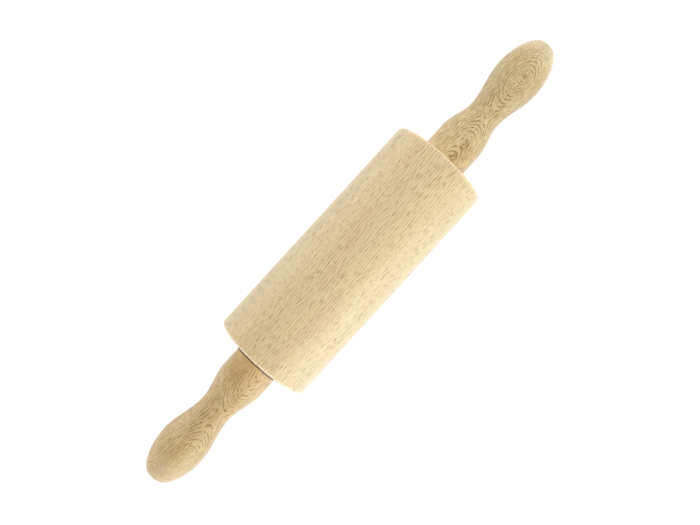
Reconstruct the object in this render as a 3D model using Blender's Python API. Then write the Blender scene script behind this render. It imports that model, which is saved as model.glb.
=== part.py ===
"""A small turned rolling pin: a beech roller that spins on a steel rod held by two beech handles.

Metres, +Z up. The origin is on the table, under the middle of the roller. +X runs along the pin to the right
handle. Every piece is turned, so each is an outline of (distance along the pin, distance from its axis)
points that is spun about X.
"""

import math

import bmesh
import bpy
from mathutils import Matrix

# Roller
roller_diameter = 0.045
roller_length = 0.1105
roller_edge_radius = 0.0006

# Handles: four stretches that follow one another outwards, from the face beside the roller to the tip
root_diameter = 0.0203
root_length = 0.0121
throat_length = 0.0159
neck_diameter = 0.0145
swell_length = 0.0207
bulb_diameter = 0.0208
cap_length = 0.0177
tip_diameter = 0.0088
root_edge_radius = 0.0008

# Steel rod, and the grooves that grip the glue at each end of it
axle_diameter = 0.006
axle_grip_length = 0.024
axle_end_chamfer = 0.0006
groove_count = 5
groove_width = 0.0014
groove_depth = 0.0004
drill_point_angle = math.radians(118)

# Flanged nylon bushes
bush_wall = 0.002
bush_sleeve_length = 0.014
bush_lead_in = 0.0004
flange_diameter = 0.016
flange_thickness = 0.0015

# Steel washers
washer_diameter = 0.0145
washer_thickness = 0.0006

# Clearances
seat_gap = 0.0003
running_gap = 0.0003

# Flat sides of each turned piece, and steps along its curves
roller_sides = 64
handle_sides = 48
fitting_sides = 32
curve_steps = 9
edge_steps = 3

# Sizes that follow from those above
roller_radius = roller_diameter / 2
roller_end = roller_length / 2
axis_height = roller_radius * math.cos(math.pi / roller_sides)
axle_radius = axle_diameter / 2
bush_bore_radius = axle_radius + running_gap
sleeve_radius = bush_bore_radius + bush_wall
roller_bore_radius = sleeve_radius + seat_gap
recess_radius = flange_diameter / 2 + seat_gap
recess_depth = flange_thickness + seat_gap
handle_face = running_gap + washer_thickness + running_gap
grip_end = handle_face + axle_grip_length
axle_end = roller_end + grip_end


def material(name, colour, roughness, metallic=0.0):
    """A Principled material with one linear colour."""
    made = bpy.data.materials.new(name)
    made.use_nodes = True
    shader = made.node_tree.nodes["Principled BSDF"]
    shader.inputs["Base Color"].default_value = (*colour, 1.0)
    shader.inputs["Roughness"].default_value = roughness
    shader.inputs["Metallic"].default_value = metallic
    made.diffuse_color = (*colour, 1.0)
    return made


def quarter_round(start, end, steps):
    """Points on the quarter circle or ellipse that leaves start along the pin and meets end square to it."""
    points = []
    for step in range(steps + 1):
        angle = math.pi / 2 * step / steps
        along = start[0] + (end[0] - start[0]) * math.sin(angle)
        out = end[1] + (start[1] - end[1]) * math.cos(angle)
        points.append((along, out))
    return points


def swept(start, end, steps):
    """Points on the S-shaped curve between two places where the outline runs level, without its start."""
    points = []
    for step in range(1, steps + 1):
        share = step / steps
        eased = (1 - math.cos(math.pi * share)) / 2
        along = start[0] + (end[0] - start[0]) * share
        out = start[1] + (end[1] - start[1]) * eased
        points.append((along, out))
    return points


def mirrored(points):
    """The other half of an outline that is the same on both sides of the middle, in running order."""
    return [(-along, out) for along, out in reversed(points)]


def turned(name, outline, sides, finish, parent, side=1, place=0.0):
    """Spin an outline about X and place it. side -1 turns the piece round, to face the left handle."""
    shape = bmesh.new()
    points = [shape.verts.new((along, 0.0, out)) for along, out in outline]
    edges = [shape.edges.new(pair) for pair in zip(points, points[1:])]
    ends_on_axis = outline[0][1] == 0.0 and outline[-1][1] == 0.0
    if not ends_on_axis:
        edges.append(shape.edges.new((points[-1], points[0])))
    # Half a side's turn leaves a flat underneath instead of a corner
    half_side = Matrix.Rotation(math.pi / sides, 3, "X")
    bmesh.ops.rotate(shape, verts=points, cent=(0, 0, 0), matrix=half_side)
    bmesh.ops.spin(
        shape,
        geom=points + edges,
        cent=(0, 0, 0),
        axis=(1, 0, 0),
        angle=2 * math.pi,
        steps=sides,
        use_merge=True,
    )
    bmesh.ops.remove_doubles(shape, verts=shape.verts, dist=1e-7)
    bmesh.ops.recalc_face_normals(shape, faces=shape.faces)
    mesh = bpy.data.meshes.new(name)
    shape.to_mesh(mesh)
    shape.free()
    mesh.materials.append(finish)
    mesh.shade_smooth()
    mesh.set_sharp_from_angle(angle=math.radians(35))
    piece = bpy.data.objects.new(name, mesh)
    bpy.context.collection.objects.link(piece)
    piece.parent = parent
    piece.location = (side * place, 0.0, 0.0)
    piece.rotation_euler = (0.0, 0.0, 0.0 if side > 0 else math.pi)
    return piece


def group(name):
    """An empty on the pin's axis that carries the pieces that move together."""
    empty = bpy.data.objects.new(name, None)
    empty.location = (0.0, 0.0, axis_height)
    empty.empty_display_size = roller_radius
    bpy.context.collection.objects.link(empty)
    return empty


def roller_outline():
    """A bored cylinder with a recess for a bush's flange in each end."""
    half = [
        (roller_end - recess_depth, roller_bore_radius),
        (roller_end - recess_depth, recess_radius),
        (roller_end, recess_radius),
    ]
    edge_start = (roller_end - roller_edge_radius, roller_radius)
    edge_end = (roller_end, roller_radius - roller_edge_radius)
    half += reversed(quarter_round(edge_start, edge_end, edge_steps))
    return half + mirrored(half)


def bush_outline():
    """A sleeve that fits the roller's bore, and a flange level with the roller's end face."""
    sleeve_end = -flange_thickness - bush_sleeve_length
    return [
        (0.0, bush_bore_radius),
        (0.0, flange_diameter / 2),
        (-flange_thickness, flange_diameter / 2),
        (-flange_thickness, sleeve_radius),
        (sleeve_end + bush_lead_in, sleeve_radius),
        (sleeve_end, sleeve_radius - bush_lead_in),
        (sleeve_end, bush_bore_radius),
    ]


def washer_outline():
    """A flat ring in the gap between the bush's flange and the handle."""
    outer_face = running_gap + washer_thickness
    return [
        (running_gap, axle_radius + running_gap),
        (running_gap, washer_diameter / 2),
        (outer_face, washer_diameter / 2),
        (outer_face, axle_radius + running_gap),
    ]


def axle_outline():
    """A rod with evenly spread grooves along each grip and a chamfer at each end."""
    half = []
    for number in range(groove_count):
        share = (number + 1) / (groove_count + 1)
        middle = roller_end + handle_face + axle_grip_length * share
        half += [
            (middle - groove_width / 2, axle_radius),
            (middle - groove_width / 2 + groove_depth, axle_radius - groove_depth),
            (middle + groove_width / 2 - groove_depth, axle_radius - groove_depth),
            (middle + groove_width / 2, axle_radius),
        ]
    half += [
        (axle_end - axle_end_chamfer, axle_radius),
        (axle_end, axle_radius - axle_end_chamfer),
        (axle_end, 0.0),
    ]
    return mirrored(half) + half


def handle_outline():
    """From the drilled hole's point, out of its mouth, and along the outside to the middle of the tip."""
    hole_radius = axle_radius + seat_gap
    hole_end = grip_end + seat_gap
    hole_point = hole_end + hole_radius / math.tan(drill_point_angle / 2)
    root_end = (handle_face + root_length, root_diameter / 2)
    neck = (root_end[0] + throat_length, neck_diameter / 2)
    bulb = (neck[0] + swell_length, bulb_diameter / 2)
    tip = bulb[0] + cap_length
    outline = [(hole_point, 0.0), (hole_end, hole_radius), (handle_face, hole_radius)]
    edge_start = (handle_face + root_edge_radius, root_diameter / 2)
    edge_end = (handle_face, root_diameter / 2 - root_edge_radius)
    outline += reversed(quarter_round(edge_start, edge_end, edge_steps))
    outline.append(root_end)
    outline += swept(root_end, neck, curve_steps)
    outline += swept(neck, bulb, curve_steps)
    # The round end is part of an ellipse, which the tip's flat cuts short
    flat_angle = math.acos(tip_diameter / bulb_diameter)
    ellipse_length = cap_length / math.sin(flat_angle)
    for step in range(1, curve_steps + 1):
        angle = flat_angle * step / curve_steps
        outline.append((bulb[0] + ellipse_length * math.sin(angle), bulb[1] * math.cos(angle)))
    outline.append((tip, 0.0))
    return outline


def build():
    for old in list(bpy.data.objects):
        bpy.data.objects.remove(old)
    roller_beech = material("roller_beech", (0.74, 0.58, 0.34), 0.45)
    handle_beech = material("handle_beech", (0.61, 0.44, 0.23), 0.5)
    bright_steel = material("bright_steel", (0.62, 0.62, 0.63), 0.25, 1.0)
    zinc_plate = material("zinc_plate", (0.72, 0.73, 0.74), 0.35, 1.0)
    white_nylon = material("white_nylon", (0.82, 0.81, 0.77), 0.4)

    turning = group("turning_group")
    held = group("held_group")
    turned("roller", roller_outline(), roller_sides, roller_beech, turning)
    turned("axle", axle_outline(), fitting_sides, bright_steel, held)
    for name, side in (("left", -1), ("right", 1)):
        turned(name + "_bush", bush_outline(), fitting_sides, white_nylon, turning, side, roller_end)
        turned(name + "_washer", washer_outline(), fitting_sides, zinc_plate, held, side, roller_end)
        turned(name + "_handle", handle_outline(), handle_sides, handle_beech, held, side, roller_end)


build()
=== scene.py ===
"""Looks of a small turned beech rolling pin, seen from straight above on white.

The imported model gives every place, and each piece is spun again from a finer outline. The beech is solid:
growth rings, rays and fibres are laid out round the heart of a log, and each wooden piece is cut from its
own log, so that face grain, quarter grain and end grain show where the real wood has them.
"""

import math

import bmesh
import bpy
from mathutils import Euler, Matrix, Vector

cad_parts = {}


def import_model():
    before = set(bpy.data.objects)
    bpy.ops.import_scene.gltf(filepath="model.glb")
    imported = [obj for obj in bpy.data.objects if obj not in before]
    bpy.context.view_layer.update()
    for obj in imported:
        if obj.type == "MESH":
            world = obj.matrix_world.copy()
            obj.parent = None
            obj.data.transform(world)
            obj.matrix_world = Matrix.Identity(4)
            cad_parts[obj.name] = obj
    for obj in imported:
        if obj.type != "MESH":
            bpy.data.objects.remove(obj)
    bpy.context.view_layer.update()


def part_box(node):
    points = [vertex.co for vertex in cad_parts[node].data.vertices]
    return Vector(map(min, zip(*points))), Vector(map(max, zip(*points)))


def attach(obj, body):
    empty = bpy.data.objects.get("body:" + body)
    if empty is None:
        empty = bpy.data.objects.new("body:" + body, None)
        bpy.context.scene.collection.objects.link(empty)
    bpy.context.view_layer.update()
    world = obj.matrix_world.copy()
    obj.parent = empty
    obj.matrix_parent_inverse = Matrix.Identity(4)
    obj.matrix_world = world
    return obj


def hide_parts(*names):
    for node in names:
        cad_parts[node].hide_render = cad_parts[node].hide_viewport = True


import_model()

mm = 0.001

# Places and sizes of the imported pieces
roller_low, roller_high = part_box("roller")
handle_low, handle_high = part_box("right_handle")
bush_low, bush_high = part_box("right_bush")
washer_low, washer_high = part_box("right_washer")
axle_low, axle_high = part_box("axle")
axis_height = (roller_low.z + roller_high.z) / 2
roller_radius = (roller_high.z - roller_low.z) / 2
roller_end = roller_high.x
axle_radius = (axle_high.z - axle_low.z) / 2
flange_radius = (bush_high.z - bush_low.z) / 2
washer_radius = (washer_high.z - washer_low.z) / 2
handle_face = handle_low.x - roller_end
tip_reach = handle_high.x - roller_end

# Sizes inside the pin that no box gives
clearance = 0.3 * mm
bore_radius = axle_radius + clearance
sleeve_radius = 5.3 * mm
flange_thickness = 1.5 * mm
grip_length = 24.0 * mm
groove_count = 5
groove_width = 1.4 * mm
groove_depth = 0.4 * mm

# Flat sides of each turned piece
roller_sides = 192
handle_sides = 160
fitting_sides = 96

# Camera, straight above and almost over the middle
camera_over_axis = 0.2822
camera_off_middle = Vector((-0.76, -0.33)) * mm
camera_turn = math.radians(-47.545)
camera_lens = 34.19

lamp_distance = 0.9
white = (1.0, 1.0, 1.0, 1.0)

# The setting that makes a Map Range node ease in and out
smooth = {"interpolation_type": "SMOOTHSTEP"}


def linear(colour):
    """A linear RGBA colour from an sRGB hex value such as "D0B689"."""
    channels = [int(colour[place:place + 2], 16) / 255 for place in (0, 2, 4)]
    return (*[c / 12.92 if c <= 0.04045 else ((c + 0.055) / 1.055) ** 2.4 for c in channels], 1.0)


def in_use(sockets, name=None):
    """The first of a node's sockets that is in use, or the first of them with that name."""
    return [socket for socket in sockets if socket.enabled and name in (None, socket.name)][0]


def feed(tree, node, sockets):
    """Link each socket, given by name or number, to a node or an output, or give it a value."""
    for key, value in sockets.items():
        socket = node.inputs[key] if isinstance(key, int) else in_use(node.inputs, key)
        if isinstance(value, bpy.types.Node):
            value = in_use(value.outputs)
        if isinstance(value, bpy.types.NodeSocket):
            tree.links.new(value, socket)
        else:
            socket.default_value = value


def add(tree, kind, sockets, **settings):
    """Add a shader node with its settings, and feed its sockets."""
    made = tree.nodes.new("ShaderNode" + kind)
    for name, value in settings.items():
        setattr(made, name, value)
    feed(tree, made, sockets)
    return made


def start_material(name, sockets):
    """A new material, its node tree and its shader, with the values that are the same all over it."""
    made = bpy.data.materials.new(name)
    made.use_nodes = True
    shader = made.node_tree.nodes["Principled BSDF"]
    feed(made.node_tree, shader, sockets)
    return made, made.node_tree, shader


def set_camera():
    """Look straight down, turned so that the pin lies from corner to corner of the picture."""
    lens = bpy.data.cameras.new("camera")
    lens.lens = camera_lens
    lens.sensor_width = 36.0
    lens.clip_start = 0.01
    camera = bpy.data.objects.new("camera", lens)
    camera.location = (camera_off_middle.x, camera_off_middle.y, axis_height + camera_over_axis)
    camera.rotation_euler = (0.0, 0.0, camera_turn)
    bpy.context.scene.collection.objects.link(camera)
    bpy.context.scene.camera = camera


def lamp(name, direction, size, watts, colour="FFFFFF"):
    """A rectangular lamp that shines from one direction on the middle of the pin."""
    light = bpy.data.lights.new(name, "AREA")
    light.shape = "RECTANGLE"
    light.size, light.size_y = size
    light.energy = watts
    light.color = linear(colour)[:3]
    made = bpy.data.objects.new(name, light)
    aim = Vector((0.0, 0.0, axis_height))
    made.location = aim + Vector(direction).normalized() * lamp_distance
    made.rotation_euler = Vector(direction).to_track_quat("Z", "X").to_euler()
    bpy.context.scene.collection.objects.link(made)


def place_in_log(tree, at, cut, turn):
    """Nodes that give, in millimetres, where a point of a piece lies in the log that it is cut from.

    along runs along the log, and from_middle along the pin from its middle. outward runs out from the heart,
    with the rings' bends and knots, and round_heart runs round it. grain has along, round_heart and outward
    for its axes. skin has along, the way round the pin, and the way out from the pin's own axis, for what
    looks the same on every side of it.
    """
    pin_middle = Vector((0.0, 0.0, axis_height / mm))
    shift = Vector((cut["place"], 0.0, cut["heart"])) - turn.to_matrix() @ pin_middle
    lay = {"Vector": at.outputs["Object"], "Scale": (1 / mm,) * 3, "Rotation": turn, "Location": shift}
    still = add(tree, "Mapping", lay)

    # Slow waves and small wriggles in the fibres: the size of one, its detail, and its swing each way
    swings = (
        ((26.0, 8.0, 8.0), 0.0, (0.0, 1.0, cut["wave"])),
        ((3.0, 1.6, 1.6), 1.0, (0.0, 0.2, cut["wriggle"])),
    )
    log = still
    for size, detail, reach in swings:
        swing = add(tree, "VectorMath", {0: still, 1: [1 / s for s in size]}, operation="MULTIPLY")
        swing = add(tree, "TexNoise", {"Vector": swing, "Scale": 1.0, "Detail": detail})
        swing = add(tree, "VectorMath", {0: swing.outputs["Color"], 1: (0.5,) * 3}, operation="SUBTRACT")
        swing = add(tree, "VectorMath", {0: swing, 1: reach}, operation="MULTIPLY")
        log = add(tree, "VectorMath", {0: log, 1: swing}, operation="ADD")
    parts = add(tree, "SeparateXYZ", {"Vector": log})
    along = parts.outputs["X"]
    up = parts.outputs["Z"]

    # The fibres fan out along the pin
    from_middle = add(tree, "Math", {0: along, 1: cut["place"]}, operation="SUBTRACT")
    spread = add(tree, "Math", {0: from_middle, 1: -cut["fan"], 2: 1.0}, operation="MULTIPLY_ADD")
    sideways = add(tree, "Math", {0: parts.outputs["Y"], 1: spread}, operation="MULTIPLY")

    # Round the heart, and out from it, where bends and knots move the rings
    across = add(tree, "CombineXYZ", {"Y": sideways, "Z": up})
    outward = add(tree, "VectorMath", {0: across}, operation="LENGTH")
    round_heart = add(tree, "Math", {0: sideways, 1: up}, operation="ARCTAN2")
    round_heart = add(tree, "Math", {0: round_heart, 1: outward}, operation="MULTIPLY")
    height, length, start = cut["bend"]
    swell = add(tree, "Math", {0: from_middle, 1: 1 / length, 2: -start / length}, operation="MULTIPLY_ADD")
    swell = add(tree, "Math", {0: swell}, operation="SINE")
    outward = add(tree, "Math", {0: swell, 1: height, 2: outward}, operation="MULTIPLY_ADD")
    plan = add(tree, "CombineXYZ", {"X": from_middle, "Y": sideways})
    for knot_along, knot_sideways, size, rise in cut["knots"]:
        away = add(tree, "VectorMath", {0: plan, 1: (knot_along, knot_sideways, 0.0)}, operation="DISTANCE")
        limits = {"Value": away, "From Min": size, "From Max": 0.0, "To Max": rise}
        lift = add(tree, "MapRange", limits, interpolation_type="SMOOTHERSTEP")
        outward = add(tree, "Math", {0: outward, 1: lift}, operation="ADD")
    grain = add(tree, "CombineXYZ", {"X": along, "Y": round_heart, "Z": outward})

    # Round the pin itself
    above_axis = add(tree, "Math", {0: up, 1: cut["heart"]}, operation="SUBTRACT")
    from_axis = add(tree, "CombineXYZ", {"Y": sideways, "Z": above_axis})
    from_axis = add(tree, "VectorMath", {0: from_axis}, operation="LENGTH")
    girth = add(tree, "Math", {0: sideways, 1: above_axis}, operation="ARCTAN2")
    girth = add(tree, "Math", {0: girth, 1: from_axis}, operation="MULTIPLY")
    skin = add(tree, "CombineXYZ", {"X": along, "Y": girth, "Z": from_axis})
    return {
        "along": along,
        "from_middle": from_middle,
        "outward": outward,
        "round_heart": round_heart,
        "grain": grain,
        "skin": skin,
    }


def patches(tree, where, size, detail, span, low=0.0, high=1.0):
    """Soft patches of one size along, round and out, in millimetres.

    span is the range of the noise that is stretched to run from low to high.
    """
    vector = add(tree, "VectorMath", {0: where, 1: [1 / s for s in size]}, operation="MULTIPLY")
    value = add(tree, "TexNoise", {"Vector": vector, "Scale": 1.0, "Detail": detail, "Roughness": 0.6})
    limits = {"Value": value, "From Min": span[0], "From Max": span[1], "To Min": low, "To Max": high}
    return add(tree, "MapRange", limits)


def flecks(tree, where, cell, dash, share):
    """Narrow dashes of one size, one to a cell and in a share of the cells, in millimetres."""
    vector = add(tree, "VectorMath", {0: where, 1: [1 / s for s in cell]}, operation="MULTIPLY")
    cells = add(tree, "TexVoronoi", {"Vector": vector, "Scale": 1.0, "Randomness": 0.7})
    stretch = [2 * s / d for s, d in zip(cell, dash)]
    away = add(tree, "VectorMath", {0: vector, 1: cells.outputs["Position"]}, operation="SUBTRACT")
    away = add(tree, "VectorMath", {0: away, 1: stretch}, operation="MULTIPLY")
    away = add(tree, "VectorMath", {0: away}, operation="LENGTH")
    mark = add(tree, "MapRange", {"Value": away, "From Min": 1.0, "From Max": 0.7})
    chance = add(tree, "SeparateColor", {"Color": cells.outputs["Color"]}).outputs["Red"]
    there = add(tree, "Math", {0: chance, 1: 1.0 - share}, operation="GREATER_THAN")
    # The faintest dash has under half the depth of the darkest
    limits = {"Value": chance, "From Min": 1.0 - share, "From Max": 1.0, "To Min": 0.45}
    depth = add(tree, "MapRange", limits)
    depth = add(tree, "Math", {0: depth, 1: there}, operation="MULTIPLY")
    return add(tree, "Math", {0: mark, 1: depth}, operation="MULTIPLY")


def ring_lines(tree, wood, cut):
    """Growth rings, wider towards the heart, each ending in a thin line that is broken into dashes."""
    surface = cut["heart"] + cut["reach"]
    depth = add(tree, "Math", {0: surface, 1: wood["outward"]}, operation="SUBTRACT")
    depth = add(tree, "Math", {0: depth}, operation="ABSOLUTE")
    # The rings' count rises with a power of the depth, and each ring is a little wider or narrower
    years = add(tree, "Math", {0: depth, 1: 1 / 20}, operation="MULTIPLY")
    years = add(tree, "Math", {0: years, 1: 0.55}, operation="POWER")
    years = add(tree, "Math", {0: years, 1: cut["years"]}, operation="MULTIPLY")
    uneven = add(tree, "TexNoise", {"W": depth, "Scale": 0.5, "Detail": 1.0}, noise_dimensions="1D")
    years = add(tree, "Math", {0: uneven, 1: 0.8, 2: years}, operation="MULTIPLY_ADD")
    season = add(tree, "Math", {0: years}, operation="FRACT")
    line = add(tree, "MapRange", {"Value": season, "From Min": 0.64, "From Max": 0.84}, **smooth)
    rings = add(tree, "CombineXYZ", {"X": wood["along"], "Y": wood["round_heart"], "Z": years})
    dashes = patches(tree, rings, (3.4, 1.9, 1.0), 1.0, (0.4, 0.54))
    return add(tree, "Math", {0: line, 1: dashes}, operation="MULTIPLY")


def vessel_lines(tree, skin):
    """Vessels, which run along the wood as fine lines and stop and start.

    Real ones are under 0.1 mm wide, too fine to show, so they are drawn as lines about a millimetre apart.
    """
    # Across the wood the lines repeat every 1.05 mm, and along it the same bends take 3.4 mm
    spacing = 1.05
    stretch = 3.4
    # The wave texture repeats with every 2 pi / 20 of its vector
    step = 2 * math.pi / (20 * spacing)
    scale = (step * spacing / stretch, step, step)
    vector = add(tree, "VectorMath", {0: skin, 1: scale}, operation="MULTIPLY")
    wave = {"Vector": vector, "Scale": 1.0, "Distortion": 4.5, "Detail": 0.0, "Detail Scale": 1.2}
    lines = add(tree, "TexWave", wave, bands_direction="Y")
    breaks = patches(tree, skin, (2.6, 0.85, 3.0), 0.0, (0.34, 0.62), low=0.5)
    return add(tree, "Math", {0: lines, 1: breaks}, operation="MULTIPLY")


def stain_and_painted_light_share(tree, at, grain, middle, reach, core, share, broken):
    """How much of the colour a stain, or a patch of painted shade, shadow or highlight, takes: share in its
    core, and less and less out to its reach.
    """
    middle = [v * mm for v in middle]
    away = add(tree, "VectorMath", {0: at.outputs["Object"], 1: middle}, operation="SUBTRACT")
    away = add(tree, "VectorMath", {0: away, 1: [1 / (v * mm) for v in reach]}, operation="MULTIPLY")
    away = add(tree, "VectorMath", {0: away}, operation="LENGTH")
    limits = {"Value": away, "From Min": 1.0, "From Max": core, "To Max": share}
    spot = add(tree, "MapRange", limits, **smooth)
    if broken:
        streaks = patches(tree, grain, (1.3, 0.5, 1.2), 1.0, (0.42, 0.58), low=1.0 - broken)
        spot = add(tree, "Math", {0: spot, 1: streaks}, operation="MULTIPLY")
    return spot


# Beech, turned on a lathe, sanded fine and lightly oiled: a silky, almost matt surface that pales towards
# its edges, fine straight fibres, short brown ray flecks, and rings that show as broken darker lines on the
# handles.
def beech(name, tones, cut, marks, stains_and_painted_light):
    """Solid beech, laid out round the heart of the log that the piece is cut from.

    tones are sRGB colours: pale and warm wood, dark fibres and vessels, ray flecks, ring lines, and a pale
    edge tone for the tips and for rounded edges, where it is partly wear and partly a painted highlight.
    cut is in millimetres and degrees. heart is the distance from the log's heart to the pin's axis, reach
    the piece's radius, years the growth rings in the outer 20 mm, and place where along the log the piece
    comes from. roll turns the flat-sawn side round the pin, lean turns the fibres seen from above, and fan
    spreads them. wave and wriggle are how far the rings swing in and out. bend, (height, length, start),
    makes the log swell and shrink along it, and each knot, (along, sideways, size, rise), lifts the rings
    over it.
    marks are strengths, from 0 to 1, of the rings, flecks, fibres, pores and vessels, of the pale tone on
    rounded edges, partly wear and partly a painted highlight, and of the pale tip.
    Each stain, and each patch of painted shade, shadow or highlight given the same way, is (tone, middle,
    reach, core, share, broken), where core is a part of its reach and broken is how far streaks break it up.
    """
    made, tree, shader = start_material(name, {"IOR": 1.5, "Sheen Weight": 0.4, "Sheen Roughness": 0.5})
    at = add(tree, "TexCoord", {})
    normal = at.outputs["Normal"]
    turn = Euler((math.radians(cut["roll"]), 0.0, math.radians(-cut["lean"])))
    wood = place_in_log(tree, at, cut, turn)
    grain, skin = wood["grain"], wood["skin"]

    # How much the surface faces the pin's ends. Flecks and vessels are faint on the end grain there.
    facing_end = add(tree, "SeparateXYZ", {"Vector": normal}).outputs["X"]
    facing_end = add(tree, "Math", {0: facing_end}, operation="ABSOLUTE")
    end_grain = add(tree, "MapRange", {"Value": facing_end, "From Min": 0.9, "From Max": 0.99})
    side_grain = add(tree, "MapRange", {"Value": end_grain, "To Min": 1.0, "To Max": 0.2})

    # On the quarter-sawn sides the rays lie flat, and show wider and fainter
    across_rays = turn.to_matrix().transposed() @ Vector((0.0, 1.0, 0.0))
    quarter = add(tree, "VectorMath", {0: normal, 1: across_rays}, operation="DOT_PRODUCT")
    quarter = add(tree, "Math", {0: quarter}, operation="ABSOLUTE")
    limits = {"Value": quarter, "From Min": 0.85, "From Max": 1.0, "To Min": 1.0, "To Max": 0.5}
    flat_rays = add(tree, "MapRange", limits)

    # The handles' round ends, in millimetres from the pin's middle
    tip = add(tree, "Math", {0: wood["from_middle"]}, operation="ABSOLUTE")
    tip = add(tree, "MapRange", {"Value": tip, "From Min": 106.0, "From Max": 119.0}, **smooth)

    # Ring lines fade towards the tips, and show a little more on end grain
    full = marks["rings"]
    extra_on_ends = 0.2 * (1.0 - full)
    strength = add(tree, "MapRange", {"Value": tip, "To Min": full, "To Max": full * 0.3})
    strength = add(tree, "Math", {0: end_grain, 1: extra_on_ends, 2: strength}, operation="MULTIPLY_ADD")
    line = add(tree, "Math", {0: ring_lines(tree, wood, cut), 1: strength}, operation="MULTIPLY")

    # Ray flecks of two sizes, 3 mm and 2 mm long
    bold = flecks(tree, grain, (4.4, 0.72, 9.0), (3.0, 0.24, 5.0), 0.85)
    bold = add(tree, "Math", {0: bold, 1: marks["flecks"]}, operation="MULTIPLY")
    fine = flecks(tree, grain, (3.0, 0.54, 6.0), (2.1, 0.18, 3.6), 0.9)
    fine = add(tree, "Math", {0: fine, 1: marks["flecks"] * 0.75}, operation="MULTIPLY")
    fleck = add(tree, "Math", {0: bold, 1: fine}, operation="MAXIMUM")
    fleck = add(tree, "Math", {0: fleck, 1: side_grain}, operation="MULTIPLY")
    fleck = add(tree, "Math", {0: fleck, 1: flat_rays}, operation="MULTIPLY")

    # Streaks of fibres, speckles of pores and the vessels' lines, which darken the wood together
    fibre = patches(tree, skin, (14.0, 0.8, 4.0), 0.0, (0.25, 0.75))
    pore = patches(tree, skin, (1.4, 0.7, 3.0), 0.0, (0.3, 0.7))
    vessel = add(tree, "Math", {0: vessel_lines(tree, skin), 1: side_grain}, operation="MULTIPLY")
    vessel = add(tree, "Math", {0: vessel, 1: flat_rays}, operation="MULTIPLY")
    shade = add(tree, "Math", {0: fibre, 1: marks["fibres"]}, operation="MULTIPLY")
    shade = add(tree, "Math", {0: pore, 1: marks["pores"], 2: shade}, operation="MULTIPLY_ADD")
    shade = add(tree, "Math", {0: vessel, 1: marks["vessels"], 2: shade}, operation="MULTIPLY_ADD")

    # Pale rounded edges, where the surface turns towards the ends but isn't end grain yet: partly wear and
    # partly a painted highlight where the rims catch the light
    limits = {"Value": facing_end, "From Min": 0.3, "From Max": 0.7, "To Max": marks["edge_wear_and_highlight"]}
    wear_and_highlight = add(tree, "MapRange", limits, **smooth)
    round_edge = add(tree, "Math", {0: 1.0, 1: end_grain}, operation="SUBTRACT")
    wear_and_highlight = add(tree, "Math", {0: wear_and_highlight, 1: round_edge}, operation="MULTIPLY")

    # The colour, laid on from the wood's own to the marks on it. Some stains are painted shade, a painted
    # shadow and painted highlights, and the pale edges are partly a painted highlight
    layers = [(patches(tree, grain, (26.0, 5.0, 6.0), 0.0, (0.25, 0.75)), tones["warm"])]
    for tone, *spot in stains_and_painted_light:
        layers.append((stain_and_painted_light_share(tree, at, grain, *spot), tone))
    tip = add(tree, "Math", {0: tip, 1: marks["tip"]}, operation="MULTIPLY")
    layers += [
        (tip, tones["edge"]),
        (shade, tones["dark"]),
        (line, tones["ring"]),
        (fleck, tones["fleck"]),
        (wear_and_highlight, tones["edge"]),
    ]
    colour = linear(tones["pale"])
    for share, tone in layers:
        colour = add(tree, "Mix", {"Factor": share, "A": colour, "B": linear(tone)}, data_type="RGBA")

    # The oil soaks in unevenly, and the marks lie a little deeper than the wood round them
    rough = patches(tree, grain, (6.0, 1.5, 3.0), 2.0, (0.3, 0.7), 0.55, 0.68)
    hollow = add(tree, "Math", {0: fleck, 1: line}, operation="ADD")
    hollow = add(tree, "Math", {0: shade, 1: hollow}, operation="ADD")
    bump = add(tree, "Bump", {"Height": hollow, "Strength": 0.05, "Distance": -0.03 * mm})
    feed(tree, shader, {"Base Color": colour, "Roughness": rough, "Normal": bump})
    return made


def surface_noise(tree, at, size, detail):
    """Noise with grains of one size along the pin, across it and up, in millimetres."""
    scale = [1 / (s * mm) for s in size]
    place = add(tree, "Mapping", {"Vector": at.outputs["Object"], "Scale": scale})
    return add(tree, "TexNoise", {"Vector": place, "Scale": 1.0, "Detail": detail})


# Bright drawn steel rod. The die leaves fine lines along it, so it gleams in streaks. They are drawn a
# quarter of a millimetre wide, several times their real width, so that they show.
def drawn_steel():
    made, tree, shader = start_material("bright_drawn_steel", {"Metallic": 1.0})
    at = add(tree, "TexCoord", {})
    lines = surface_noise(tree, at, (18.0, 0.25, 0.25), 2.0)
    share = add(tree, "MapRange", {"Value": lines, "From Min": 0.3, "From Max": 0.7})
    tones = {"A": linear("C4C4C2"), "B": linear("D6D6D5")}
    colour = add(tree, "Mix", {"Factor": share, **tones}, data_type="RGBA")
    limits = {"Value": lines, "From Min": 0.3, "From Max": 0.7, "To Min": 0.18, "To Max": 0.34}
    rough = add(tree, "MapRange", limits)
    bump = add(tree, "Bump", {"Height": lines, "Strength": 0.2, "Distance": 0.01 * mm})
    feed(tree, shader, {"Base Color": colour, "Roughness": rough, "Normal": bump})
    return made


# Zinc plate on pressed steel washers: a cool, slightly cloudy shine with the grain of the sheet below, drawn
# coarser than it is, so that it shows.
def zinc_plate():
    made, tree, shader = start_material("zinc_plated_steel", {"Metallic": 1.0})
    at = add(tree, "TexCoord", {})
    cloud = surface_noise(tree, at, (1.5, 1.5, 1.5), 3.0)
    grit = surface_noise(tree, at, (0.15, 0.15, 0.15), 1.0)
    tones = {"A": linear("C2C6CC"), "B": linear("DDDEE0")}
    colour = add(tree, "Mix", {"Factor": cloud, **tones}, data_type="RGBA")
    limits = {"Value": cloud, "From Min": 0.3, "From Max": 0.7, "To Min": 0.28, "To Max": 0.45}
    rough = add(tree, "MapRange", limits)
    bump = add(tree, "Bump", {"Height": grit, "Strength": 0.15, "Distance": 0.01 * mm})
    feed(tree, shader, {"Base Color": colour, "Roughness": rough, "Normal": bump})
    return made


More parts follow.
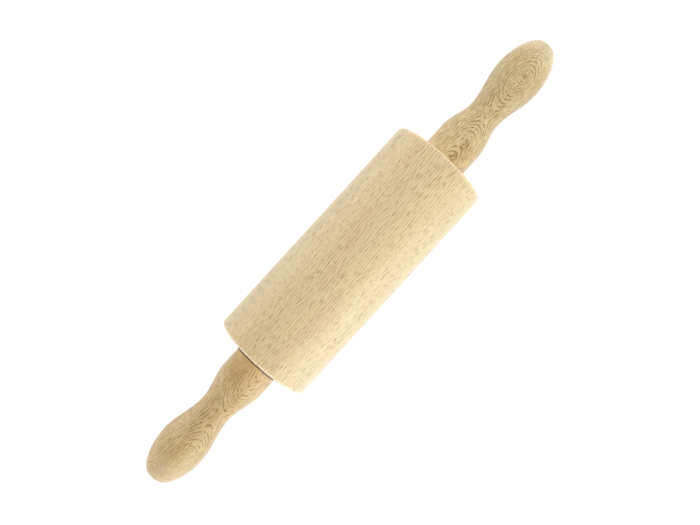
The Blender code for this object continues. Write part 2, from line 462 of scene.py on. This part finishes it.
# Natural nylon, moulded: milky, a little see-through at thin edges, with the grain of a sparked mould, drawn
# coarser than it is, so that it shows.
def moulded_nylon():
    values = {"IOR": 1.53, "Subsurface Weight": 0.2, "Subsurface Scale": 0.8 * mm}
    made, tree, shader = start_material("moulded_nylon", values)
    at = add(tree, "TexCoord", {})
    cloud = surface_noise(tree, at, (3.0, 3.0, 3.0), 2.0)
    grit = surface_noise(tree, at, (0.12, 0.12, 0.12), 1.0)
    tones = {"A": linear("E6E3D8"), "B": linear("EFEDE6")}
    colour = add(tree, "Mix", {"Factor": cloud, **tones}, data_type="RGBA")
    limits = {"Value": grit, "From Min": 0.3, "From Max": 0.7, "To Min": 0.36, "To Max": 0.46}
    rough = add(tree, "MapRange", limits)
    bump = add(tree, "Bump", {"Height": grit, "Strength": 0.2, "Distance": 0.01 * mm})
    feed(tree, shader, {"Base Color": colour, "Roughness": rough, "Normal": bump})
    return made


def softened(before, corner, after, steps=6):
    """Points of a round corner that leaves the outline at before and joins it again at after."""
    points = []
    for step in range(steps + 1):
        share = step / steps
        first = Vector(before).lerp(Vector(corner), share)
        second = Vector(corner).lerp(Vector(after), share)
        points.append(tuple(first.lerp(second, share)))
    return points


def swept(start, end, steps=26):
    """Points of the S-shaped curve between two places where the outline runs level, without its start."""
    points = []
    for step in range(1, steps + 1):
        share = step / steps
        eased = (1 - math.cos(math.pi * share)) / 2
        points.append((start[0] + (end[0] - start[0]) * share, start[1] + (end[1] - start[1]) * eased))
    return points


def turned(name, outline, sides, finish, body, side=1):
    """Spin an outline of (along the pin, out from its axis) points, and put the piece in its place.

    side -1 turns the piece round, to face the left handle.
    """
    shape = bmesh.new()
    points = [shape.verts.new((along, 0.0, out)) for along, out in outline]
    edges = [shape.edges.new(pair) for pair in zip(points, points[1:])]
    ends_on_axis = outline[0][1] == 0.0
    if not ends_on_axis:
        edges.append(shape.edges.new((points[-1], points[0])))
    bmesh.ops.spin(
        shape,
        geom=points + edges,
        cent=(0, 0, 0),
        axis=(1, 0, 0),
        angle=2 * math.pi,
        steps=sides,
        use_merge=True,
    )
    bmesh.ops.remove_doubles(shape, verts=shape.verts, dist=1e-7)
    if side < 0:
        half_turn = Matrix.Rotation(math.pi, 3, "Z")
        bmesh.ops.rotate(shape, verts=shape.verts, cent=(0, 0, 0), matrix=half_turn)
    bmesh.ops.translate(shape, verts=shape.verts, vec=(0.0, 0.0, axis_height))
    bmesh.ops.recalc_face_normals(shape, faces=shape.faces)
    mesh = bpy.data.meshes.new(name)
    shape.to_mesh(mesh)
    shape.free()
    mesh.materials.append(finish)
    mesh.shade_smooth()
    mesh.set_sharp_from_angle(angle=math.radians(40))
    piece = bpy.data.objects.new(name, mesh)
    bpy.context.scene.collection.objects.link(piece)
    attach(piece, body)
    return piece


def handle_outline(root, neck, bulb, flat_radius, edge):
    """A handle's outline, from the bottom of its hole, round the outside, to the middle of the tip.

    root, neck and bulb are (distance from the roller's end, radius) where the outline runs level. edge is
    how far the tip's rim is rounded.
    """
    hole_end = axle_high.x - roller_end + clearance
    # A drill of 118 degrees leaves a point 0.6 of its radius deep
    drill_point = hole_end + bore_radius * 0.6
    rim = 0.8 * mm
    rim_start = (handle_face, root[1] - rim)
    rim_end = (handle_face + rim, root[1])
    outline = [(drill_point, 0.0), (hole_end, bore_radius), (handle_face, bore_radius)]
    outline += softened(rim_start, (handle_face, root[1]), rim_end)
    outline.append(root)
    outline += swept(root, neck)
    outline += swept(neck, bulb)
    # The round end is part of an ellipse, which the tip's flat and its rounded rim cut short
    flat_angle = math.acos(flat_radius / bulb[1])
    ellipse_length = (tip_reach - bulb[0]) / math.sin(flat_angle)
    rounded_off = edge * 0.6
    steps = 30
    for step in range(1, steps):
        angle = flat_angle * step / steps
        along = bulb[0] + ellipse_length * math.sin(angle)
        if tip_reach - along > rounded_off:
            outline.append((along, bulb[1] * math.cos(angle)))
    outline += softened(outline[-1], (tip_reach, flat_radius), (tip_reach, flat_radius - edge))
    outline.append((tip_reach, 0.0))
    return [(roller_end + along, out) for along, out in outline]


def roller_outline():
    """A bored cylinder with softened rims and a recess for a bush's flange in each end."""
    rim = 1.0 * mm
    bore = sleeve_radius + clearance
    recess_radius = flange_radius + clearance
    recess_floor = roller_end - flange_thickness - clearance
    rim_start = (roller_end, roller_radius - rim)
    rim_end = (roller_end - rim, roller_radius)
    half = [(recess_floor, bore), (recess_floor, recess_radius), (roller_end, recess_radius)]
    half += softened(rim_start, (roller_end, roller_radius), rim_end)
    return half + [(-along, out) for along, out in reversed(half)]


def bush_outline():
    """A flanged sleeve, with its flange towards +X and level with the roller's end."""
    flange, sleeve, bore = flange_radius, sleeve_radius, bore_radius
    flange_back = roller_end - flange_thickness
    soft = 0.3 * mm
    lead_in = 0.4 * mm
    outline = softened((roller_end - soft, bore), (roller_end, bore), (roller_end, bore + soft), 3)
    outline += softened((roller_end, flange - soft), (roller_end, flange), (roller_end - soft, flange), 3)
    outline += [(flange_back, flange), (flange_back, sleeve), (bush_low.x + lead_in, sleeve)]
    return outline + [(bush_low.x, sleeve - lead_in), (bush_low.x, bore)]


def washer_outline():
    """A pressed ring: the punch rounds the rims of one face and leaves the other sharp."""
    face, bore, rim = washer_high.x, bore_radius, washer_radius
    soft = 0.2 * mm
    outline = [(washer_low.x, bore), (washer_low.x, rim)]
    outline += softened((face - soft, rim), (face, rim), (face, rim - soft), 3)
    return outline + softened((face, bore + soft), (face, bore), (face - soft, bore), 3)


def axle_outline():
    """A rod with glue grooves in each grip and a chamfer at each end."""
    chamfer = 0.6 * mm
    floor_radius = axle_radius - groove_depth
    half = []
    for number in range(groove_count):
        middle = axle_high.x - grip_length + grip_length * (number + 1) / (groove_count + 1)
        start, end = middle - groove_width / 2, middle + groove_width / 2
        half += [(start, axle_radius), (start + groove_depth, floor_radius)]
        half += [(end - groove_depth, floor_radius), (end, axle_radius)]
    half += [(axle_high.x - chamfer, axle_radius), (axle_high.x, axle_radius - chamfer), (axle_high.x, 0.0)]
    return [(-along, out) for along, out in reversed(half)] + half


def seen_as_ground(tree):
    """1 where the ground is seen, also in gloss or through a clear piece, and 0 where it gives light."""
    path = add(tree, "LightPath", {})
    camera, gloss = path.outputs["Is Camera Ray"], path.outputs["Is Glossy Ray"]
    seen = add(tree, "Math", {0: camera, 1: gloss}, operation="MAXIMUM")
    return add(tree, "Math", {0: seen, 1: path.outputs["Is Transmission Ray"]}, operation="MAXIMUM")


def floor():
    """A white sheet that lights the pin as paper does, and is seen as white with the pin's faint shadow."""
    shape = bmesh.new()
    bmesh.ops.create_circle(shape, cap_ends=True, segments=96, radius=6.0)
    mesh = bpy.data.meshes.new("floor")
    shape.to_mesh(mesh)
    shape.free()
    made = bpy.data.materials.new("white_sweep")
    made.use_nodes = True
    tree = made.node_tree
    tree.nodes.clear()
    paper = add(tree, "BsdfDiffuse", {"Color": (0.8, 0.8, 0.8, 1.0)})
    # Lamplight on a dim grey and a glow add up to white, and far out, where less lamplight falls, the glow
    # is full
    shadow = add(tree, "BsdfDiffuse", {"Color": (0.3, 0.3, 0.3, 1.0)})
    at = add(tree, "TexCoord", {})
    away = add(tree, "VectorMath", {0: at.outputs["Object"]}, operation="LENGTH")
    limits = {"Value": away, "From Min": 0.3, "From Max": 1.5, "To Min": 0.86, "To Max": 1.0}
    glow = add(tree, "MapRange", limits)
    glow = add(tree, "Emission", {"Color": white, "Strength": glow})
    shown = add(tree, "AddShader", {0: shadow, 1: glow})
    both = add(tree, "MixShader", {0: seen_as_ground(tree), 1: paper, 2: shown})
    add(tree, "OutputMaterial", {"Surface": both})
    mesh.materials.append(made)
    made_floor = bpy.data.objects.new("floor", mesh)
    bpy.context.scene.collection.objects.link(made_floor)


def world(ambient):
    """White to look at, with only a little light of its own."""
    made = bpy.data.worlds.new("white_room")
    made.use_nodes = True
    tree = made.node_tree
    tree.nodes.clear()
    strength = add(tree, "MapRange", {"Value": seen_as_ground(tree), "To Min": ambient, "To Max": 1.0})
    background = add(tree, "Background", {"Color": white, "Strength": strength})
    add(tree, "OutputWorld", {"Surface": background})
    bpy.context.scene.world = made


set_camera()
floor()
world(ambient=0.06)

# Soft lamps low beside the pin and beyond its ends, and a small one above, tilted so that the roller's left
# end throws a narrow shadow on the left handle
side_tilt, end_tilt, top_tilt = math.radians(80), math.radians(75), math.radians(10.2)
lamp("key_right", (-0.2, -math.sin(side_tilt), math.cos(side_tilt)), (0.5, 0.3), 9.2, "F0F8FF")
lamp("fill_left", (0.0, math.sin(side_tilt), math.cos(side_tilt)), (0.5, 0.3), 4.8, "EEF5FF")
for name, end, watts in (("end_left", -1, 1.8), ("end_right", 1, 2.4)):
    lamp(name, (end * math.sin(end_tilt), 0.0, math.cos(end_tilt)), (0.3, 0.3), watts)
lamp("top", (math.sin(top_tilt), 0.1, math.cos(top_tilt)), (0.012, 0.012), 4.15, "FFFBF4")

# Heights of stains, painted shade and painted highlights above the table, and a reach that takes one all
# the way round, in millimetres
middle_height = axis_height / mm
top = middle_height + 10.0
all_round = 400.0

# The roller: flat-sawn on top, with hardly a ring to be seen, and a painted highlight
# along the rim at each end
roller_tones = {
    "pale": "E2CE9F", "warm": "DFC69B", "dark": "8A5A14",
    "fleck": "864C06", "ring": "9A7638", "edge": "FFE0A8",
}
roller_cut = {
    "heart": 60.0, "reach": 22.5, "years": 14.0, "place": 0.0, "roll": 4.0, "lean": 2.4, "fan": 0.0014,
    "wave": 0.5, "wriggle": 0.06, "bend": (0.0, 16.0, 0.0), "knots": (),
}
roller_marks = {
    "rings": 0.02, "flecks": 0.95, "fibres": 0.02, "pores": 0.0, "vessels": 0.35, "edge_wear_and_highlight": 0.6, "tip": 0.0,
}
roller_rim_highlights = (
    # Painted highlights: near-white bands along the rounded rims at both ends, where they catch the light
    ("FFF0CC", (-55.25, 0.0, middle_height), (1.2, all_round, all_round), 0.6, 0.95, 0.0),
    ("FFE4B8", (55.25, 0.0, middle_height), (1.8, all_round, all_round), 0.2, 0.8, 0.0),
)
roller_beech = beech("roller_beech", roller_tones, roller_cut, roller_marks, roller_rim_highlights)

# The right handle: rings that close over knots on the root, neck and swell, a greyer flank, painted
# shade over the side that faces the key lamp, and brown spots
right_tones = {
    "pale": "DBC594", "warm": "D3BA88", "dark": "8C6612",
    "fleck": "785006", "ring": "6C4A04", "edge": "F0DCB2",
}
right_cut = {
    "heart": 60.0, "reach": 10.95, "years": 32.0, "place": 300.0, "roll": -10.0, "lean": 0.0, "fan": 0.0,
    "wave": 0.3, "wriggle": 0.16, "bend": (0.7, 6.4, 81.5),
    "knots": ((96.8, 0.8, 3.2, 0.65), (102.6, 0.0, 5.6, 0.5), (69.8, -0.2, 3.0, 0.8), (83.5, 0.9, 4.0, 1.2)),
}
right_marks = {
    "rings": 0.78, "flecks": 0.72, "fibres": 0.05, "pores": 0.1, "vessels": 0.32, "edge_wear_and_highlight": 0.3, "tip": 0.7,
}
right_stains_and_shade = (
    # The pale neck, the darker side of the root, a greyer streak on the flank, and painted shade that greys
    # and darkens the whole side facing the key lamp
    ("EAD2A4", (76.0, 1.0, top), (15.0, 8.0, 9.0), 0.5, 0.4, 0.0),
    ("A87E4A", (64.0, -5.0, top - 3.0), (5.5, 3.4, 5.0), 0.3, 0.45, 0.0),
    ("C4A878", (94.0, -4.6, top - 2.0), (18.0, 3.6, 8.0), 0.3, 0.5, 0.0),
    # Painted shade: a greyer, darker tone over the whole side that faces the key lamp
    ("C6AE82", (90.0, -13.0, middle_height), (60.0, 13.0, 13.0), 0.3, 0.7, 0.0),
    # Two brown knots on the root, by the roller, and a brown spot on the swell
    ("8E6836", (66.6, -2.6, top), (3.7, 2.3, 4.0), 0.3, 0.9, 0.8),
    ("946E40", (59.6, -2.3, top), (3.6, 2.2, 4.0), 0.3, 0.9, 0.8),
    ("B5804C", (103.5, -1.8, top), (1.5, 1.2, 3.0), 0.3, 0.8, 0.0),
)
right_beech = beech("right_handle_beech", right_tones, right_cut, right_marks, right_stains_and_shade)

# The left handle: painted shade on the root beside the roller, a painted shadow line at its inner edge,
# rings that close over knots on the swell, and a rosier tip
left_tones = {
    "pale": "DBBF90", "warm": "D2B482", "dark": "94700C",
    "fleck": "846206", "ring": "785604", "edge": "E9CFA2",
}
left_cut = {
    "heart": 60.0, "reach": 10.6, "years": 26.0, "place": 600.0, "roll": -28.0, "lean": 0.0, "fan": 0.0,
    "wave": 0.3, "wriggle": 0.16, "bend": (1.0, 16.0, -60.0),
    "knots": ((-104.5, 0.0, 6.0, 0.4), (-111.9, 0.0, 4.5, 0.6)),
}
left_marks = {
    "rings": 0.7, "flecks": 0.76, "fibres": 0.05, "pores": 0.1, "vessels": 0.34, "edge_wear_and_highlight": 0.3, "tip": 0.4,
}
left_stains_and_shade = (
    # Painted shade darkening the root on both sides beside the roller, and the darker side of the neck
    ("B48C58", (-61.0, 4.0, top - 3.0), (14.0, 11.0, 12.0), 0.3, 0.55, 0.0),
    ("BC9662", (-61.0, -6.0, top - 4.0), (9.0, 5.0, 9.0), 0.3, 0.4, 0.0),
    ("C09C66", (-79.0, -3.4, top - 1.0), (20.0, 3.4, 9.0), 0.3, 0.5, 0.0),
    # A painted shadow, the dark brown line that the roller's end throws round the root's inner edge, and
    # the rosier tip
    ("2E1602", (-56.4, 0.0, middle_height), (2.8, all_round, 14.3), 0.94, 0.96, 0.0),
    ("DDBB98", (-115.6, 0.3, top - 2.0), (4.0, 3.0, 5.0), 0.3, 0.7, 0.0),
)
left_beech = beech("left_handle_beech", left_tones, left_cut, left_marks, left_stains_and_shade)

roller = turned("beech_roller", roller_outline(), roller_sides, roller_beech, "roller")
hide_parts("roller")

# Each handle has its own outline, and they differ by up to a millimetre
right_outline = handle_outline(
    root=(13.8 * mm, 10.26 * mm),
    neck=(28.7 * mm, 7.38 * mm),
    bulb=(49.6 * mm, 10.53 * mm),
    flat_radius=4.0 * mm,
    edge=1.6 * mm,
)
right_handle = turned(
    "beech_handle_right", right_outline, handle_sides, right_beech, "handles",
)
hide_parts("right_handle")
left_outline = handle_outline(
    root=(12.8 * mm, 10.26 * mm),
    neck=(29.7 * mm, 7.35 * mm),
    bulb=(50.3 * mm, 10.55 * mm),
    flat_radius=5.0 * mm,
    edge=0.7 * mm,
)
left_handle = turned(
    "beech_handle_left", left_outline, handle_sides, left_beech, "handles", side=-1,
)
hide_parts("left_handle")

steel, zinc, nylon = drawn_steel(), zinc_plate(), moulded_nylon()
rod = turned("drawn_steel_rod", axle_outline(), fitting_sides, steel, "handles")
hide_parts("axle")
for end, side in (("left", -1), ("right", 1)):
    bush = turned("nylon_bush_" + end, bush_outline(), fitting_sides, nylon, "roller", side)
    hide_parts(end + "_bush")
    washer = turned(
        "zinc_washer_" + end, washer_outline(), fitting_sides, zinc, "handles", side,
    )
    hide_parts(end + "_washer")

bpy.context.scene.view_settings.view_transform = "Standard"
